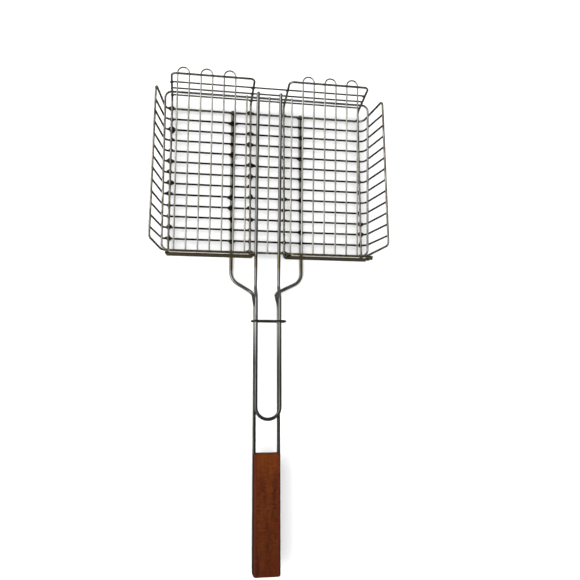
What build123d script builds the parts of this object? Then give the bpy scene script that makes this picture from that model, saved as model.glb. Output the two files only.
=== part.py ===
from build123d import *
import math
import os

# A hinged wire grill basket: a base tray with four splayed walls, a lid of long bars that hooks
# into the far wall, a long handle with a wooden grip, and a ring that slides along the handle to
# lock the lid. All sizes are in millimetres. The working frame has X across the basket, +Y away
# from the handle and Z up, with zero on the centre line of the long loop wires in the tray's floor.

# Wire diameters
THIN = 2.2
FLOOR_WIRE = 2.6
FRAME = 3.0
ROD = 4.5
RING = 2.5
WELD_GAP = 0.02

# Tray floor
PITCH = 16.0
CROSS_BARS = 12
FLOOR_HALF_Y = (CROSS_BARS + 1) / 2 * PITCH
LOOP_OUTER_X = 137.2
LOOP_INNER_X = 24.4
LOOP_FAR_Y = 116.5
LOOP_NEAR_Y = -110.5
SIDE_BEND_X = 145.6

# Walls
WALL_HEIGHT = 58.0
FAR_SPLAY = 10.0
NEAR_SPLAY = 8.0
SIDE_FAR_SPLAY = 11.4
SIDE_NEAR_SPLAY = 13.8
SIDE_FAR_LEAN = 4.0
SIDE_NEAR_LEAN = -2.5
FAR_BAR_HEIGHTS = (0.63, 0.40, 0.14)
NEAR_BAR_HEIGHTS = (0.86, 0.62, 0.30)
BAR_END = 1.2
CORNER_R = 6.0
BEND_R = 9.0

# Lid, measured in its own sloping plane from the near edge
LID_X = -1.5
LID_HALF_X = 144.0
LID_CELLS = 18
LID_NEAR_Y = -108.0
LID_NEAR_Z = 14.1
LID_LENGTH = 220.0
LID_RISE = 20.7
LID_CORNER_R = 9.0
HOOK_REACH = 34.6
CENTRE_BAR_TIP = 1.5
HANDLE_TIP = 6.5
HAIRPIN_CELLS = ((1, 2), (3, 4), (5, 6), (12, 13), (14, 15), (16, 17))
CENTRE_CELLS = (7, 9, 11)

# Lid handle: a long loop that steps up past the tray
LID_ROD_X = 16.0
LID_STEP_Y = (-156.0, -172.0)
LID_HANDLE_Z = 24.6
LID_HANDLE_END_Y = -333.5
STEP_R = 10.0

# Main handle: one rod that runs under the floor, steps up and turns round the grip
UNDER_X = 50.0
UNDER_FAR_Y = 108.0
SHOULDER_Y = -143.0
NECK_Y = -161.0
HANDLE_STEP_Y = -182.0
HANDLE_Z = 20.0
HANDLE_X = -3.0
HANDLE_HALF = 16.1
HANDLE_END_Y = -525.0
SHOULDER_R = 18.0
GRIP_TURN_R = 9.0

# Wooden grip
GRIP_HALF_X = 17.5
GRIP_NEAR_Y = -376.5
GRIP_END_Y = -527.5
GRIP_THICK = 20.0
GRIP_CORNER_R = 3.0
GRIP_EDGE_R = 3.0
GROOVE_PLAY = 0.05

# Locking ring
RING_Y = -204.0
RING_X = -0.5
RING_HALF_X = 22.65
RING_PLAY = 0.35
RING_CORNER_R = 3.8

# Levels of the wires that cross under the long loops
BAR_Z = -(FRAME + FLOOR_WIRE) / 2 - WELD_GAP
SIDE_LOOP_Z = -FRAME - WELD_GAP
UNDER_Z = SIDE_LOOP_Z - (FRAME + ROD) / 2 - WELD_GAP

# The finished part has its origin under the middle of the whole outline
LID_SLOPE = math.asin(LID_RISE / LID_LENGTH)
HOOK_TIP_Y = LID_NEAR_Y + (LID_LENGTH + HOOK_REACH + THIN / 2) * math.cos(LID_SLOPE)
SHIFT_Y = -(HOOK_TIP_Y + GRIP_END_Y) / 2
SHIFT_Z = -(UNDER_Z - ROD / 2)


def tube(points, radii, diameter):
    """A round wire along straight runs joined by tangent arcs."""
    path = FilletPolyline(*points, radius=radii) if radii else Polyline(*points)
    start = Plane(origin=path @ 0, z_dir=path % 0)
    return sweep(start * Circle(diameter / 2), path=path)


def ring_of(points, radii, diameter):
    """A closed wire: its path starts and ends at a butt joint half way along the first run."""
    first = Vector(*points[0])
    second = Vector(*points[1])
    along = (second - first).normalized()
    middle = (first + second) * 0.5
    opened = [middle + along * WELD_GAP, *points[1:], points[0], middle - along * WELD_GAP]
    return tube(opened, [*radii[1:], radii[0]], diameter)


def save(shape, name):
    """Move a finished piece to the part's own origin and write it."""
    export_step(shape.moved(Location((0, SHIFT_Y, SHIFT_Z))), f"parts/{name}.step")


def wall_point(fraction, end, outward=0.0):
    """A point (y, z) on an end wall, at a share of its height, moved out of the wall's plane."""
    foot = LOOP_FAR_Y if end > 0 else LOOP_NEAR_Y
    splay = FAR_SPLAY if end > 0 else NEAR_SPLAY
    length = math.hypot(splay, WALL_HEIGHT)
    y = foot + end * (splay * fraction + outward * WALL_HEIGHT / length)
    z = WALL_HEIGHT * fraction - outward * splay / length
    return y, z


def long_loop(side):
    """One of the two loops that make the floor's length and turn up into both end walls."""
    far_y = LOOP_FAR_Y + FAR_SPLAY
    near_y = LOOP_NEAR_Y - NEAR_SPLAY
    outer = side * LOOP_OUTER_X
    inner = side * LOOP_INNER_X
    points = [
        (outer, LOOP_NEAR_Y, 0),
        (outer, LOOP_FAR_Y, 0),
        (outer, far_y, WALL_HEIGHT),
        (inner, far_y, WALL_HEIGHT),
        (inner, LOOP_FAR_Y, 0),
        (inner, LOOP_NEAR_Y, 0),
        (inner, near_y, WALL_HEIGHT),
        (outer, near_y, WALL_HEIGHT),
    ]
    return ring_of(points, [CORNER_R] * len(points), FRAME)


def rim_corner(side, end):
    """A corner of a side rim: both rims spread and shift a little from the far end to the near."""
    splay = SIDE_FAR_SPLAY if end > 0 else SIDE_NEAR_SPLAY
    lean = SIDE_FAR_LEAN if end > 0 else SIDE_NEAR_LEAN
    return side * (SIDE_BEND_X + splay), end * (FLOOR_HALF_Y + lean), WALL_HEIGHT


def side_loop():
    """The wide loop: the floor's first and last cross wires, turned up into both side rims."""
    points = []
    radii = []
    for side in (1, -1):
        floor = (side * SIDE_BEND_X, side * FLOOR_HALF_Y, SIDE_LOOP_Z)
        back = (side * SIDE_BEND_X, -side * FLOOR_HALF_Y, SIDE_LOOP_Z)
        points += [floor, rim_corner(side, side), rim_corner(side, -side), back]
        radii += [BEND_R, CORNER_R, CORNER_R, BEND_R]
    points = [points[-1], *points[:-1]]
    radii = [radii[-1], *radii[:-1]]
    return ring_of(points, radii, FRAME)


def cross_bar(number):
    """A floor wire that turns up at both sides and is butt welded to the side rims from below."""
    y = FLOOR_HALF_Y - number * PITCH
    far_x, far_y, rim_z = rim_corner(1, 1)
    near_x, near_y, rim_z = rim_corner(1, -1)
    rim_x = near_x + (far_x - near_x) * (y - near_y) / (far_y - near_y)
    splay = rim_x - SIDE_BEND_X
    rise = rim_z - SIDE_LOOP_Z
    length = math.hypot(splay, rise)
    short = FRAME / 2 + WELD_GAP
    tip_x = rim_x - short * splay / length
    tip_z = rim_z - short * rise / length
    bend_x = SIDE_BEND_X + (BAR_Z - SIDE_LOOP_Z) * splay / rise
    points = [(-tip_x, y, tip_z), (-bend_x, y, BAR_Z), (bend_x, y, BAR_Z), (tip_x, y, tip_z)]
    return tube(points, [BEND_R, BEND_R], FLOOR_WIRE)


def wall_bar(first_x, last_x, fraction, end):
    """A straight wire on the outside of an end wall's legs."""
    y, z = wall_point(fraction, end, (FRAME + THIN) / 2 + WELD_GAP)
    return tube([(first_x, y, z), (last_x, y, z)], [], THIN)


def main_handle():
    """The handle rod, from the floor's far wire round the wooden grip and back."""
    left = HANDLE_X - HANDLE_HALF
    right = HANDLE_X + HANDLE_HALF
    points = [
        (-UNDER_X, UNDER_FAR_Y, UNDER_Z),
        (-UNDER_X, SHOULDER_Y, UNDER_Z),
        (left, NECK_Y, UNDER_Z),
        (left, HANDLE_STEP_Y, HANDLE_Z),
        (left, HANDLE_END_Y, HANDLE_Z),
        (right, HANDLE_END_Y, HANDLE_Z),
        (right, HANDLE_STEP_Y, HANDLE_Z),
        (right, NECK_Y, UNDER_Z),
        (UNDER_X, SHOULDER_Y, UNDER_Z),
        (UNDER_X, UNDER_FAR_Y, UNDER_Z),
    ]
    radii = [SHOULDER_R, STEP_R, STEP_R, GRIP_TURN_R]
    return tube(points, radii + radii[::-1], ROD)


def wooden_grip():
    """The grip: a wood block with rounded edges and a groove round its sides for the rod."""
    length = GRIP_NEAR_Y - GRIP_END_Y
    middle = Location((HANDLE_X, (GRIP_NEAR_Y + GRIP_END_Y) / 2, HANDLE_Z))
    block = Box(2 * GRIP_HALF_X, length, GRIP_THICK)
    block = fillet(block.edges().filter_by(Axis.Z), GRIP_CORNER_R)
    block = fillet(block.faces().sort_by(Axis.Z)[-1].edges(), GRIP_EDGE_R)
    block = fillet(block.faces().sort_by(Axis.Z)[0].edges(), GRIP_EDGE_R)
    reach = ROD / 2 + GROOVE_PLAY
    core_half = HANDLE_HALF - reach
    core_end = HANDLE_END_Y + reach
    core_length = 2 * (GRIP_NEAR_Y - core_end)
    core = RectangleRounded(2 * core_half, core_length, GRIP_TURN_R - reach)
    core = Location((0, length / 2, 0)) * core
    band = Rectangle(4 * GRIP_HALF_X, 2 * length) - core
    groove = extrude(band, amount=reach, both=True)
    return (block - groove).moved(middle)


def locking_ring():
    """The flat ring round all four handle rods."""
    low = HANDLE_Z - ROD / 2 - RING_PLAY - RING / 2
    high = LID_HANDLE_Z + ROD / 2 + RING_PLAY + RING / 2
    left = RING_X - RING_HALF_X
    right = RING_X + RING_HALF_X
    points = [(left, RING_Y, low), (right, RING_Y, low), (right, RING_Y, high), (left, RING_Y, high)]
    return ring_of(points, [RING_CORNER_R] * len(points), RING)


def lid_place():
    """Where the lid's sloping plane lies: its near edge, tilted up towards the far wall."""
    return Location((LID_X, LID_NEAR_Y, LID_NEAR_Z), (math.degrees(LID_SLOPE), 0, 0))


def cell_x(number):
    """The distance across the lid of one of its evenly spaced bars."""
    return (number / LID_CELLS * 2 - 1) * LID_HALF_X


def lid_frame():
    """The lid's outline wire."""
    points = [
        (-LID_HALF_X, 0, 0),
        (LID_HALF_X, 0, 0),
        (LID_HALF_X, LID_LENGTH, 0),
        (-LID_HALF_X, LID_LENGTH, 0),
    ]
    return ring_of(points, [LID_CORNER_R] * len(points), FRAME).moved(lid_place())


def lid_hairpin(first, last):
    """A pair of lid bars whose far ends join in a round hook through the far wall."""
    level = (FRAME + THIN) / 2 + WELD_GAP
    tip = LID_LENGTH + HOOK_REACH
    near = -FRAME / 2
    x0 = cell_x(first)
    x1 = cell_x(last)
    points = [(x0, near, level), (x0, tip, level), (x1, tip, level), (x1, near, level)]
    turn = (x1 - x0) / 2 - WELD_GAP
    return tube(points, [turn, turn], THIN).moved(lid_place())


def lid_centre_bar(number):
    """A single straight lid bar between and beside the handle rods."""
    level = (FRAME + THIN) / 2 + WELD_GAP
    x = cell_x(number)
    points = [(x, -FRAME / 2, level), (x, LID_LENGTH + CENTRE_BAR_TIP, level)]
    return tube(points, [], THIN).moved(lid_place())


def lid_handle():
    """The lid's two thick bars, which step up and join in a long loop over the main handle."""
    level = (FRAME + ROD) / 2 + WELD_GAP
    rise = math.tan(LID_SLOPE)
    far = LID_NEAR_Y + (LID_LENGTH + HANDLE_TIP) * math.cos(LID_SLOPE)

    def on_lid(y):
        return LID_NEAR_Z + level / math.cos(LID_SLOPE) + (y - LID_NEAR_Y) * rise

    step_foot, step_top = LID_STEP_Y
    run = [
        (far, on_lid(far)),
        (step_foot, on_lid(step_foot)),
        (step_top, LID_HANDLE_Z),
        (LID_HANDLE_END_Y, LID_HANDLE_Z),
    ]
    side = [(LID_X + LID_ROD_X, y, z) for y, z in run]
    other = [(LID_X - LID_ROD_X, y, z) for y, z in reversed(run)]
    turn = LID_ROD_X - WELD_GAP
    return tube(side + other, [STEP_R, STEP_R, turn, turn, STEP_R, STEP_R], ROD)


def hinge_bar_drop():
    """The gap between the hooks' and the top far bar's centre lines, and that bar's place."""
    y, z = wall_point(FAR_BAR_HEIGHTS[0], 1, (FRAME + THIN) / 2 + WELD_GAP)
    level = (FRAME + THIN) / 2 + WELD_GAP
    line_z = LID_NEAR_Z + level / math.cos(LID_SLOPE) + (y - LID_NEAR_Y) * math.tan(LID_SLOPE)
    return (line_z - z) * math.cos(LID_SLOPE), y + SHIFT_Y, z + SHIFT_Z


def main():
    os.makedirs("parts", exist_ok=True)
    save(long_loop(-1), "left_loop")
    save(long_loop(1), "right_loop")
    save(side_loop(), "side_loop")
    for number in range(1, CROSS_BARS + 1):
        save(cross_bar(number), f"floor_bar_{number:02d}")
    far_x = LOOP_OUTER_X + BAR_END
    near_x = LOOP_INNER_X - BAR_END
    for number, fraction in enumerate(FAR_BAR_HEIGHTS, start=1):
        save(wall_bar(-far_x, far_x, fraction, 1), f"far_wall_bar_{number}")
    for number, fraction in enumerate(NEAR_BAR_HEIGHTS, start=1):
        save(wall_bar(-far_x, -near_x, fraction, -1), f"near_left_bar_{number}")
        save(wall_bar(near_x, far_x, fraction, -1), f"near_right_bar_{number}")
    save(main_handle(), "main_handle_rod")
    save(wooden_grip(), "wooden_grip")
    save(locking_ring(), "locking_ring")
    save(lid_frame(), "lid_frame")
    for number, (first, last) in enumerate(HAIRPIN_CELLS, start=1):
        save(lid_hairpin(first, last), f"lid_hairpin_{number}")
    for number, cell in enumerate(CENTRE_CELLS, start=1):
        save(lid_centre_bar(cell), f"lid_centre_bar_{number}")
    save(lid_handle(), "lid_handle_loop")
    gap, hinge_y, hinge_z = hinge_bar_drop()
    print(f"hook to hinge bar {gap:.2f}, hinge at y {hinge_y:.2f} z {hinge_z:.2f}")
    print(f"shift y {SHIFT_Y:.2f} z {SHIFT_Z:.2f}")


main()
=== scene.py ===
import math
import random

import bmesh
import bpy
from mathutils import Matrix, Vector, noise


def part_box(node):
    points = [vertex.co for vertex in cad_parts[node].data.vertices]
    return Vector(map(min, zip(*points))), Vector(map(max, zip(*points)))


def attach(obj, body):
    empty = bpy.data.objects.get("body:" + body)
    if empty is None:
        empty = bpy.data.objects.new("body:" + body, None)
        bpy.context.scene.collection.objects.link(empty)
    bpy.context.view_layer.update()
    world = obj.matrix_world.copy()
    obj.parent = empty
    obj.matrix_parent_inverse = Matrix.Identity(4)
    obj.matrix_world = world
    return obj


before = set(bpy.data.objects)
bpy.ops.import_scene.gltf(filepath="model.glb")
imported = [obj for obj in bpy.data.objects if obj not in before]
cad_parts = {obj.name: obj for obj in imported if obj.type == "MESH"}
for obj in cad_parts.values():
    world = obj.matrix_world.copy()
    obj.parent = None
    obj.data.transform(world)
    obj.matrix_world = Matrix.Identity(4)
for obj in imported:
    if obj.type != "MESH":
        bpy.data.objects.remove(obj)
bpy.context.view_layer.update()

SEED = 7
RNG = random.Random(SEED)

# Wire radii, in metres
THIN_R = 0.0011
FLOOR_R = 0.0013
FRAME_R = 0.0015
ROD_R = 0.00225
RING_R = 0.00125

X_AXIS = Vector((1, 0, 0))
Y_AXIS = Vector((0, 1, 0))
Z_AXIS = Vector((0, 0, 1))

# The lengthwise wires that the floor bars are welded to: distance from the middle, in metres
INNER_COLUMN = 0.0244
ROD_COLUMN = 0.050
OUTER_COLUMN = 0.1372

# Each kind of weld: its reach along its two wires, and its depth, in metres. The floor bars' welds
# are larger on the left by a factor.
FLOOR_WELDS = (
    (INNER_COLUMN, (0.0044, 0.0038)),
    (ROD_COLUMN, (0.0046, 0.0036)),
    (OUTER_COLUMN, (0.0044, 0.0042)),
)
FLOOR_WELD_DEPTH = 0.0021
LEFT_HEAVY = 1.2
CROSS_WIRE_WELD = ((0.0052, 0.0036), 0.0022)
SIDE_RIM_WELD = ((0.0019, 0.0014), 0.0013)
WALL_WELD = ((0.0027, 0.0021), 0.0013)
LID_WELD = ((0.0021, 0.0020), 0.0010)
RING_WELD = ((0.0022, 0.0016), 0.0014)

# Every weld differs: its size, how far it slips off its crossing, its stretch and its lumps
NUGGET_SIZES = (0.6, 1.15)
NUGGET_SLIP = 0.2
NUGGET_STRETCHES = (0.8, 1.2)
NUGGET_WAIST = 0.72
NUGGET_FILLET = 0.28
LUMP_HEIGHT = 0.45
LUMP_SCALE = 1.5

# Places that the stains follow, in metres
WELD_COLUMNS = (INNER_COLUMN, ROD_COLUMN, OUTER_COLUMN)
WELD_HALO = 0.0065
NEAR_WALL_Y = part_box("lid_frame")[0].y - 0.0005
FILM_WIDTH = 0.018
FILM_FADE = 0.004
RING_PLACE_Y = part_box("locking_ring")[0].y
# Length below the ring over which soot and painted shade darken the rods
SOOT_AND_SHADE_LENGTH = 0.05

# The grip, in metres: lengths from its ends, and how far from its sides a tone starts and is full
# The lighter basket end is a painted highlight; the far end is made darker
HIGHLIGHT_LENGTH = 0.045
DARKER_END_LENGTH = 0.09
RED_EDGE = (0.005, 0.002)
# Painted shade along the grip's sides
SHADED_SIDE = (0.0012, 0.0002)

# Scales of the noise patterns, in lumps per metre
PATCH_SCALE = 60.0
SPOT_SCALE = 170.0
DRAWN_SCALE = 1300.0
SCORCH_SCALE = 160.0
SCORCH_GRAIN_SCALE = 1500.0
BLOTCH_SCALE = 42.0

# Factors on X, Y and Z that draw noise out along the wires or the wood's grain, or squeeze it
ACROSS_STRETCH = (0.25, 1, 1)
ALONG_STRETCH = (1, 0.2, 1)
STREAK_STRETCH = (50.0, 7.0, 50.0)
FIGURE_STRETCH = (55.0, 120.0, 55.0)
PORE_STRETCH = (420.0, 22.0, 420.0)

# Colours
BAKED_FILM = (0.20, 0.160, 0.078, 1)
# Soot on the handle's rods, partly painted shade
SOOT_AND_SHADE = (0.045, 0.040, 0.034, 1)
WOOD_LIGHT = (0.088, 0.0185, 0.0008, 1)
WOOD_DEEP = (0.036, 0.0052, 0.0005, 1)
# Colour of the painted highlight at the grip's basket end
WOOD_HIGHLIGHT = (0.125, 0.0260, 0.0010, 1)
WOOD_RED = (0.058, 0.0048, 0.0006, 1)
# Grime in the wood's pores, also used as painted shade on its sides and to darken its far end
WOOD_GRIME_AND_SHADE = (0.010, 0.0028, 0.0010, 1)

# Camera, at the photograph's viewing angle: place in metres, turn in degrees, lens in millimetres
CAMERA_AT = (-0.107, -0.1108, 0.8517)
CAMERA_TURN = (9.648, -9.369, -0.263)
CAMERA_LENS = 38.25
SENSOR_WIDTH = 36.0

# Floor and lights: places and sizes in metres, powers in watts
FLOOR_HALF = 5.0
FLOOR_GAP = 0.0005
LIGHT_AIM = (0, 0.1, 0)
BOX_AT = (-1.6, 0.1, 1.5)
BOX_SIZE = (3.0, 1.8)
BOX_POWER = 46
FILL_AT = (0, 0.1, 4.0)
FILL_SIZE = (9.0, 9.0)
FILL_POWER = 410

# The room's light, and the brighter band round the horizon: its top and its bottom each fade
# between two heights of a unit direction
WORLD_TINT = (0.95, 0.97, 1.0, 1)
ROOM_LIGHT = 0.17
HORIZON_LIGHT = 0.66
HORIZON_TOP = (0.14, 0.34)
HORIZON_BOTTOM = (-0.26, -0.19)


# ---------------------------------------------------------------- materials

def new_material(name):
    material = bpy.data.materials.new(name)
    material.use_nodes = True
    tree = material.node_tree
    shader = tree.nodes["Principled BSDF"]
    return material, tree, shader


def node(tree, kind, **values):
    made = tree.nodes.new(kind)
    for key, value in values.items():
        setattr(made, key, value)
    return made


def object_coords(tree, scale=(1, 1, 1)):
    coords = node(tree, "ShaderNodeTexCoord")
    mapping = node(tree, "ShaderNodeMapping")
    mapping.inputs["Scale"].default_value = scale
    tree.links.new(coords.outputs["Object"], mapping.inputs["Vector"])
    return mapping.outputs["Vector"]


def noise_value(tree, vector, scale, detail=4.0, rough=0.55):
    made = node(tree, "ShaderNodeTexNoise")
    made.inputs["Scale"].default_value = scale
    made.inputs["Detail"].default_value = detail
    made.inputs["Roughness"].default_value = rough
    tree.links.new(vector, made.inputs["Vector"])
    return made.outputs["Fac"]


def remap(tree, value, low, high, to_low=0.0, to_high=1.0):
    made = node(tree, "ShaderNodeMapRange")
    made.inputs["From Min"].default_value = low
    made.inputs["From Max"].default_value = high
    made.inputs["To Min"].default_value = to_low
    made.inputs["To Max"].default_value = to_high
    tree.links.new(value, made.inputs["Value"])
    return made.outputs["Result"]


def mix_colour(tree, factor, first, second):
    made = node(tree, "ShaderNodeMix", data_type="RGBA")
    for socket, value in ((0, factor), (6, first), (7, second)):
        if isinstance(value, (tuple, float, int)):
            made.inputs[socket].default_value = value
        else:
            tree.links.new(value, made.inputs[socket])
    return made.outputs[2]


def math_node(tree, operation, first, second=0.0):
    made = node(tree, "ShaderNodeMath", operation=operation)
    for socket, value in enumerate((first, second)):
        if isinstance(value, (float, int)):
            made.inputs[socket].default_value = value
        else:
            tree.links.new(value, made.inputs[socket])
    return made.outputs[0]


def axes(tree, vector):
    """The X, Y and Z parts of a vector."""
    split = node(tree, "ShaderNodeSeparateXYZ")
    tree.links.new(vector, split.inputs[0])
    return split.outputs


def bump(tree, shader, height, distance, strength):
    made = node(tree, "ShaderNodeBump")
    made.inputs["Strength"].default_value = strength
    made.inputs["Distance"].default_value = distance
    tree.links.new(height, made.inputs["Height"])
    tree.links.new(made.outputs["Normal"], shader.inputs["Normal"])


def band(tree, value, centre, half):
    """1 where a value is near a centre, fading to 0 at a distance of half."""
    off = math_node(tree, "ABSOLUTE", math_node(tree, "SUBTRACT", value, centre))
    full = half * 0.35
    return remap(tree, off, half, full)


def weld_heat(tree, x, columns):
    """1 on the lengthwise wires that the cross wires are welded to, fading out beside them."""
    across = math_node(tree, "ABSOLUTE", x)
    heat = 0.0
    for centre in columns:
        heat = math_node(tree, "MAXIMUM", heat, band(tree, across, centre, WELD_HALO))
    return heat


def near_wall(tree, y):
    """1 in the depth of the near wall, fading to 0 towards the tray and towards the handle."""
    from_tray = remap(tree, y, NEAR_WALL_Y + FILM_FADE, NEAR_WALL_Y)
    film_end = NEAR_WALL_Y - FILM_WIDTH
    from_handle = remap(tree, y, film_end - FILM_FADE, film_end)
    return math_node(tree, "MULTIPLY", from_tray, from_handle)


def plated_wire(name, bright, dull, stain, stain_amount, rough,
                stretch=(1, 1, 1), columns=(), soot_and_shade=0.0):
    """Plated wire: uneven tone, brown stains, baked film on the near wall, drawing marks.

    The stains gather at the columns of welds, and soot with painted shade sets in from the ring
    towards the grip.
    """
    material, tree, shader = new_material(name)
    x, y, _ = axes(tree, object_coords(tree))
    long_way = object_coords(tree, stretch)
    patches = noise_value(tree, long_way, PATCH_SCALE, detail=5.0)
    spots = noise_value(tree, long_way, SPOT_SCALE, detail=4.0)
    drawn = noise_value(tree, long_way, DRAWN_SCALE, detail=2.0)
    tone = mix_colour(tree, remap(tree, patches, 0.36, 0.64), bright, dull)
    stained = math_node(tree, "MULTIPLY", remap(tree, spots, 0.54, 0.7), stain_amount)
    if columns:
        ragged = remap(tree, spots, 0.35, 0.6, 0.35, 1.0)
        heat = math_node(tree, "MULTIPLY", weld_heat(tree, x, columns), ragged)
        stained = math_node(tree, "MAXIMUM", stained, heat)
    colour = mix_colour(tree, stained, tone, stain)
    patchy = remap(tree, spots, 0.3, 0.6, 0.45, 0.9)
    film = math_node(tree, "MULTIPLY", near_wall(tree, y), patchy)
    colour = mix_colour(tree, film, colour, BAKED_FILM)
    # From the ring towards the grip the rods darken: real soot, and painted shade
    if soot_and_shade:
        soot_and_shade_mask = remap(tree, y, RING_PLACE_Y, RING_PLACE_Y - SOOT_AND_SHADE_LENGTH, 0.0, soot_and_shade)
        colour = mix_colour(tree, soot_and_shade_mask, colour, SOOT_AND_SHADE)
    tree.links.new(colour, shader.inputs["Base Color"])
    shader.inputs["Metallic"].default_value = 1.0
    gloss = remap(tree, patches, 0.3, 0.7, rough, rough + 0.08)
    worn = math_node(tree, "ADD", gloss, math_node(tree, "MULTIPLY", stained, 0.25))
    tree.links.new(worn, shader.inputs["Roughness"])
    bump(tree, shader, drawn, distance=0.00003, strength=0.15)
    return material


def weld_metal():
    """Rough, scorched nuggets where two wires are spot welded."""
    material, tree, shader = new_material("weld_scorch")
    vector = object_coords(tree)
    patches = noise_value(tree, vector, SCORCH_SCALE, detail=4.0)
    grain = noise_value(tree, vector, SCORCH_GRAIN_SCALE, detail=3.0)
    brown = (0.016, 0.008, 0.004, 1)
    grey = (0.050, 0.036, 0.024, 1)
    tone = mix_colour(tree, remap(tree, patches, 0.4, 0.62), brown, grey)
    tree.links.new(tone, shader.inputs["Base Color"])
    shader.inputs["Metallic"].default_value = 0.85
    tree.links.new(remap(tree, grain, 0.3, 0.7, 0.38, 0.6), shader.inputs["Roughness"])
    bump(tree, shader, grain, distance=0.0002, strength=0.6)
    return material


def wood_noise(tree):
    """The wood's mixed long grain and cross figure, and its fine long pores."""
    lengthwise = object_coords(tree, STREAK_STRETCH)
    crosswise = object_coords(tree, FIGURE_STRETCH)
    streaks = noise_value(tree, lengthwise, scale=2.4, detail=6.0, rough=0.62)
    figure = noise_value(tree, crosswise, scale=3.2, detail=5.0, rough=0.65)
    half_streaks = math_node(tree, "MULTIPLY", streaks, 0.5)
    half_figure = math_node(tree, "MULTIPLY", figure, 0.5)
    grain = math_node(tree, "ADD", half_streaks, half_figure)
    pores = noise_value(tree, object_coords(tree, PORE_STRETCH), scale=2.0, detail=3.0)
    return grain, pores


def varnished_wood():
    """Reddish brown varnished wood: a painted highlight near the basket, darker towards the far
    end, painted shade on its sides.
    """
    material, tree, shader = new_material("varnished_wood")
    low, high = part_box("wooden_grip")
    plain = object_coords(tree)
    x, y, _ = axes(tree, plain)
    grain, pores = wood_noise(tree)
    blotches = noise_value(tree, plain, BLOTCH_SCALE, detail=3.0)
    tone = mix_colour(tree, remap(tree, grain, 0.42, 0.60), WOOD_LIGHT, WOOD_DEEP)
    # Painted highlight towards the basket end
    painted_highlight = remap(tree, y, high.y - HIGHLIGHT_LENGTH, high.y)
    tone = mix_colour(tree, math_node(tree, "MULTIPLY", painted_highlight, 0.55), tone, WOOD_HIGHLIGHT)
    # Darker towards the far end
    darker_end = remap(tree, y, low.y + DARKER_END_LENGTH, low.y, 0.0, 0.3)
    tone = mix_colour(tree, darker_end, tone, WOOD_GRIME_AND_SHADE)
    tone = mix_colour(tree, remap(tree, blotches, 0.45, 0.75, 0.0, 0.6), tone, WOOD_RED)
    middle = (low.x + high.x) / 2
    half = (high.x - low.x) / 2
    off = math_node(tree, "ABSOLUTE", math_node(tree, "SUBTRACT", x, middle))
    edge = remap(tree, off, half - RED_EDGE[0], half - RED_EDGE[1])
    tone = mix_colour(tree, math_node(tree, "MULTIPLY", edge, 0.5), tone, WOOD_RED)
    pore_mask = remap(tree, pores, 0.60, 0.72, 0.0, 0.55)
    tone = mix_colour(tree, pore_mask, tone, WOOD_GRIME_AND_SHADE)
    # Painted shade darkens the grip's sides
    side = remap(tree, off, half - SHADED_SIDE[0], half - SHADED_SIDE[1])
    tone = mix_colour(tree, math_node(tree, "MULTIPLY", side, 0.8), tone, WOOD_GRIME_AND_SHADE)
    tree.links.new(tone, shader.inputs["Base Color"])
    tree.links.new(remap(tree, grain, 0.3, 0.7, 0.36, 0.52), shader.inputs["Roughness"])
    shader.inputs["Specular IOR Level"].default_value = 0.12
    relief = math_node(tree, "SUBTRACT", grain, pore_mask)
    bump(tree, shader, relief, distance=0.0003, strength=0.35)
    return material


def pale_floor():
    """A matt, nearly white ground."""
    material, _, shader = new_material("pale_floor")
    shader.inputs["Base Color"].default_value = (0.93, 0.93, 0.925, 1)
    shader.inputs["Roughness"].default_value = 0.9
    return material


# ---------------------------------------------------------------- stage

def make_camera():
    data = bpy.data.cameras.new("camera")
    data.sensor_width = SENSOR_WIDTH
    data.lens = CAMERA_LENS
    camera = bpy.data.objects.new("camera", data)
    camera.location = CAMERA_AT
    camera.rotation_euler = [math.radians(a) for a in CAMERA_TURN]
    bpy.context.scene.collection.objects.link(camera)
    bpy.context.scene.camera = camera


def make_floor():
    """A wide pale floor just under the basket, which its wires don't mirror."""
    mesh = bpy.data.meshes.new("floor")
    half = FLOOR_HALF
    corners = [(-half, -half, 0), (half, -half, 0), (half, half, 0), (-half, half, 0)]
    mesh.from_pydata(corners, [], [(0, 1, 2, 3)])
    floor = bpy.data.objects.new("floor", mesh)
    floor.location.z = -FLOOR_GAP
    bpy.context.scene.collection.objects.link(floor)
    mesh.materials.append(pale_floor())
    floor.visible_glossy = False


def area_light(name, place, size, power, shines=True):
    data = bpy.data.lights.new(name, "AREA")
    data.shape = "RECTANGLE"
    data.size, data.size_y = size
    data.energy = power
    light = bpy.data.objects.new(name, data)
    light.location = place
    light.rotation_euler = (Vector(LIGHT_AIM) - Vector(place)).to_track_quat("-Z", "Y").to_euler()
    light.visible_glossy = shines
    bpy.context.scene.collection.objects.link(light)


def make_lights():
    """A broad soft box high on the left, and an even fill from above that wires don't mirror."""
    area_light("left_box", BOX_AT, BOX_SIZE, BOX_POWER)
    area_light("fill", FILL_AT, FILL_SIZE, FILL_POWER, shines=False)


def make_world():
    """A dim room with a brighter band round the horizon."""
    world = bpy.data.worlds.new("world")
    world.use_nodes = True
    tree = world.node_tree
    backdrop = tree.nodes["Background"]
    backdrop.inputs["Color"].default_value = WORLD_TINT
    _, _, height = axes(tree, node(tree, "ShaderNodeTexCoord").outputs["Generated"])
    under_top = remap(tree, height, *HORIZON_TOP, 1.0, 0.0)
    over_bottom = remap(tree, height, *HORIZON_BOTTOM)
    horizon = math_node(tree, "MULTIPLY", under_top, over_bottom)
    glow = math_node(tree, "MULTIPLY", horizon, HORIZON_LIGHT)
    tree.links.new(math_node(tree, "ADD", glow, ROOM_LIGHT), backdrop.inputs["Strength"])
    bpy.context.scene.world = world
    bpy.context.scene.view_settings.view_transform = "Standard"


# ---------------------------------------------------------------- welds

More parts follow.
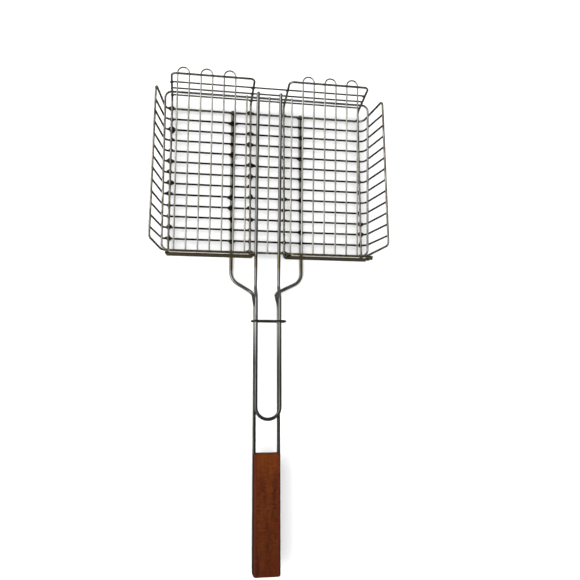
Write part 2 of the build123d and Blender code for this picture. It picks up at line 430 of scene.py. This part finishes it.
def nugget(shape, centre, along, across, spread, depth):
    """One lumpy weld: fillets run out along both wires, and every one has lumps of its own."""
    seed = Vector([RNG.uniform(-50, 50) for _ in range(3)])
    size = RNG.uniform(*NUGGET_SIZES)
    slip_along = along * RNG.uniform(-NUGGET_SLIP, NUGGET_SLIP) * spread[0]
    slip_across = across * RNG.uniform(-NUGGET_SLIP, NUGGET_SLIP) * spread[1]
    centre = centre + (slip_along + slip_across)
    stretch = RNG.uniform(*NUGGET_STRETCHES)
    normal = along.cross(across)
    ball = bmesh.ops.create_icosphere(shape, subdivisions=2, radius=1.0)
    for vert in ball["verts"]:
        way = vert.co.normalized()
        turn = math.atan2(way.y, way.x)
        fillet = NUGGET_WAIST + NUGGET_FILLET * math.cos(2 * turn) ** 2
        lump = 1 + LUMP_HEIGHT * noise.noise(way * LUMP_SCALE + seed)
        far_along = along * way.x * spread[0] * stretch
        far_across = across * way.y * spread[1] / stretch
        flat = (far_along + far_across) * fillet * size
        vert.co = centre + (flat + normal * way.z * depth) * lump


def weld_group(name, body, material, places):
    """One object that holds a group of welds; each place holds nugget's arguments after shape."""
    shape = bmesh.new()
    for place in places:
        nugget(shape, *place)
    for face in shape.faces:
        face.smooth = True
    mesh = bpy.data.meshes.new(name)
    shape.to_mesh(mesh)
    shape.free()
    mesh.materials.append(material)
    welds = bpy.data.objects.new(name, mesh)
    bpy.context.scene.collection.objects.link(welds)
    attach(welds, body)


def names_from(*starts):
    """The CAD nodes whose names begin in one of these ways, in the frame's order."""
    return [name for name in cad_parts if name.startswith(starts)]


def bar_y(name):
    """Where a wire that runs across the basket lies along it."""
    low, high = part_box(name)
    return (low.y + high.y) / 2


def floor_bar_weld_places():
    """Where the floor bars cross the loops, which lie on them, and the handle's rods under them."""
    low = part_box("floor_bar_01")[0]
    level = low.z + 2 * FLOOR_R
    places = []
    for name in names_from("floor_bar"):
        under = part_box(name)[0].z
        for column, spread in FLOOR_WELDS:
            for side in (-1, 1):
                heavy = LEFT_HEAVY if side < 0 else 1.0
                wide = (spread[0] * heavy, spread[1] * heavy)
                z = under if column == ROD_COLUMN else level
                centre = Vector((side * column, bar_y(name), z))
                places.append((centre, X_AXIS, Y_AXIS, wide, FLOOR_WELD_DEPTH))
    return places


def cross_wire_weld_places():
    """Where the first and last cross wires, a pitch beyond the floor bars, cross loops and rods."""
    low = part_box("side_loop")[0]
    first, last = bar_y("floor_bar_01"), bar_y("floor_bar_12")
    pitch = (first - last) / (len(names_from("floor_bar")) - 1)
    places = []
    for side in (-1, 1):
        for y in (first + pitch, last - pitch):
            for column in (ROD_COLUMN, INNER_COLUMN, OUTER_COLUMN):
                z = low.z if column == ROD_COLUMN else low.z + 2 * FRAME_R
                centre = Vector((side * column, y, z))
                places.append((centre, X_AXIS, Y_AXIS, *CROSS_WIRE_WELD))
    return places


def side_rim_weld_places():
    """Where the floor bars' ends meet the side rims."""
    places = []
    for name in names_from("floor_bar"):
        low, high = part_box(name)
        for x in (low.x + FLOOR_R, high.x - FLOOR_R):
            centre = Vector((x, bar_y(name), high.z - FLOOR_R / 2))
            places.append((centre, Y_AXIS, Z_AXIS, *SIDE_RIM_WELD))
    return places


def wall_weld_places():
    """Where the wall bars cross the loops' upturned legs."""
    places = []
    for name in names_from("far_wall", "near_"):
        low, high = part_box(name)
        inward = -THIN_R if name.startswith("far") else THIN_R
        y = bar_y(name) + inward
        z = (low.z + high.z) / 2
        for column in (OUTER_COLUMN, INNER_COLUMN):
            for x in (-column, column):
                if low.x < x < high.x:
                    places.append((Vector((x, y, z)), X_AXIS, Z_AXIS, *WALL_WELD))
    return places


def lid_weld_places():
    """Where the lid's bars cross its outline wire."""
    frame_low, frame_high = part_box("lid_frame")
    near_end = (frame_low.y + FRAME_R, frame_low.z + 2 * FRAME_R)
    far_end = (frame_high.y - FRAME_R, frame_high.z)
    places = []
    for name in names_from("lid_hairpin", "lid_centre", "lid_handle"):
        low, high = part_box(name)
        radius = ROD_R if name.startswith("lid_handle") else THIN_R
        for x in sorted({round(low.x + radius, 5), round(high.x - radius, 5)}):
            for y, z in (near_end, far_end):
                places.append((Vector((x, y, z)), X_AXIS, Y_AXIS, *LID_WELD))
    return places


def add_welds():
    scorch = weld_metal()
    floor_places = floor_bar_weld_places() + cross_wire_weld_places()
    weld_group("floor_welds", "basket", scorch, floor_places)
    weld_group("side_rim_welds", "basket", scorch, side_rim_weld_places())
    weld_group("wall_welds", "basket", scorch, wall_weld_places())
    weld_group("lid_welds", "lid", scorch, lid_weld_places())
    low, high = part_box("locking_ring")
    bottom = Vector(((low.x + high.x) / 2, bar_y("locking_ring"), low.z + RING_R))
    weld_group("ring_weld", "lock", scorch, [(bottom, X_AXIS, Y_AXIS, *RING_WELD)])


# ---------------------------------------------------------------- finish

def paint(name, material):
    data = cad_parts[name].data
    data.materials.clear()
    data.materials.append(material)


def paint_nodes():
    """Every CAD node keeps its mesh and gets one material."""
    # The floor bars' near-black base colour is painted shade, with real brown stains at the weld
    # columns
    floor_bars_shaded = plated_wire(
        "floor_bar_plate_shaded", bright=(0.048, 0.040, 0.030, 1), dull=(0.024, 0.018, 0.012, 1),
        stain=(0.012, 0.006, 0.003, 1), stain_amount=0.8, rough=0.28,
        stretch=ACROSS_STRETCH, columns=WELD_COLUMNS)
    wall_bars = plated_wire(
        "wall_bar_plate", bright=(0.22, 0.20, 0.16, 1), dull=(0.10, 0.088, 0.066, 1),
        stain=(0.05, 0.03, 0.018, 1), stain_amount=0.6, rough=0.24, stretch=ACROSS_STRETCH)
    # The lid bars' lighter base colour is a painted sheen on the same plated wire
    lid_bars_sheen = plated_wire(
        "lid_bar_plate_sheen", bright=(0.60, 0.59, 0.54, 1), dull=(0.38, 0.365, 0.32, 1),
        stain=(0.16, 0.12, 0.075, 1), stain_amount=0.4, rough=0.2, stretch=ALONG_STRETCH)
    loops = plated_wire(
        "loop_plate", bright=(0.44, 0.42, 0.37, 1), dull=(0.20, 0.18, 0.14, 1),
        stain=(0.06, 0.035, 0.018, 1), stain_amount=0.75, rough=0.22)
    lid_wire = plated_wire(
        "lid_frame_plate", bright=(0.50, 0.485, 0.43, 1), dull=(0.28, 0.26, 0.21, 1),
        stain=(0.09, 0.06, 0.035, 1), stain_amount=0.55, rough=0.2)
    rod_look = dict(
        bright=(0.31, 0.315, 0.295, 1), dull=(0.17, 0.17, 0.15, 1),
        stain=(0.085, 0.060, 0.034, 1), stain_amount=0.5, rough=0.25, stretch=ALONG_STRETCH)
    # The rods darken below the ring with soot and painted shade
    lid_rods = plated_wire("lid_rod_plate", **rod_look, soot_and_shade=0.7)
    main_rods = plated_wire("main_rod_plate", **rod_look, soot_and_shade=0.9)
    ring = plated_wire(
        "ring_plate", bright=(0.13, 0.105, 0.08, 1), dull=(0.07, 0.05, 0.036, 1),
        stain=(0.03, 0.016, 0.008, 1), stain_amount=0.7, rough=0.3, stretch=ACROSS_STRETCH)
    wood = varnished_wood()
    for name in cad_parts:
        if name == "wooden_grip":
            paint(name, wood)
        elif name == "main_handle_rod":
            paint(name, main_rods)
        elif name == "lid_handle_loop":
            paint(name, lid_rods)
        elif name == "locking_ring":
            paint(name, ring)
        elif name.startswith(("lid_hairpin", "lid_centre")):
            paint(name, lid_bars_sheen)
        elif name == "lid_frame":
            paint(name, lid_wire)
        elif name.startswith("floor_bar"):
            paint(name, floor_bars_shaded)
        elif name.startswith(("far_wall", "near_")):
            paint(name, wall_bars)
        else:
            paint(name, loops)


def main():
    make_camera()
    make_floor()
    make_lights()
    make_world()
    paint_nodes()
    add_welds()


main()
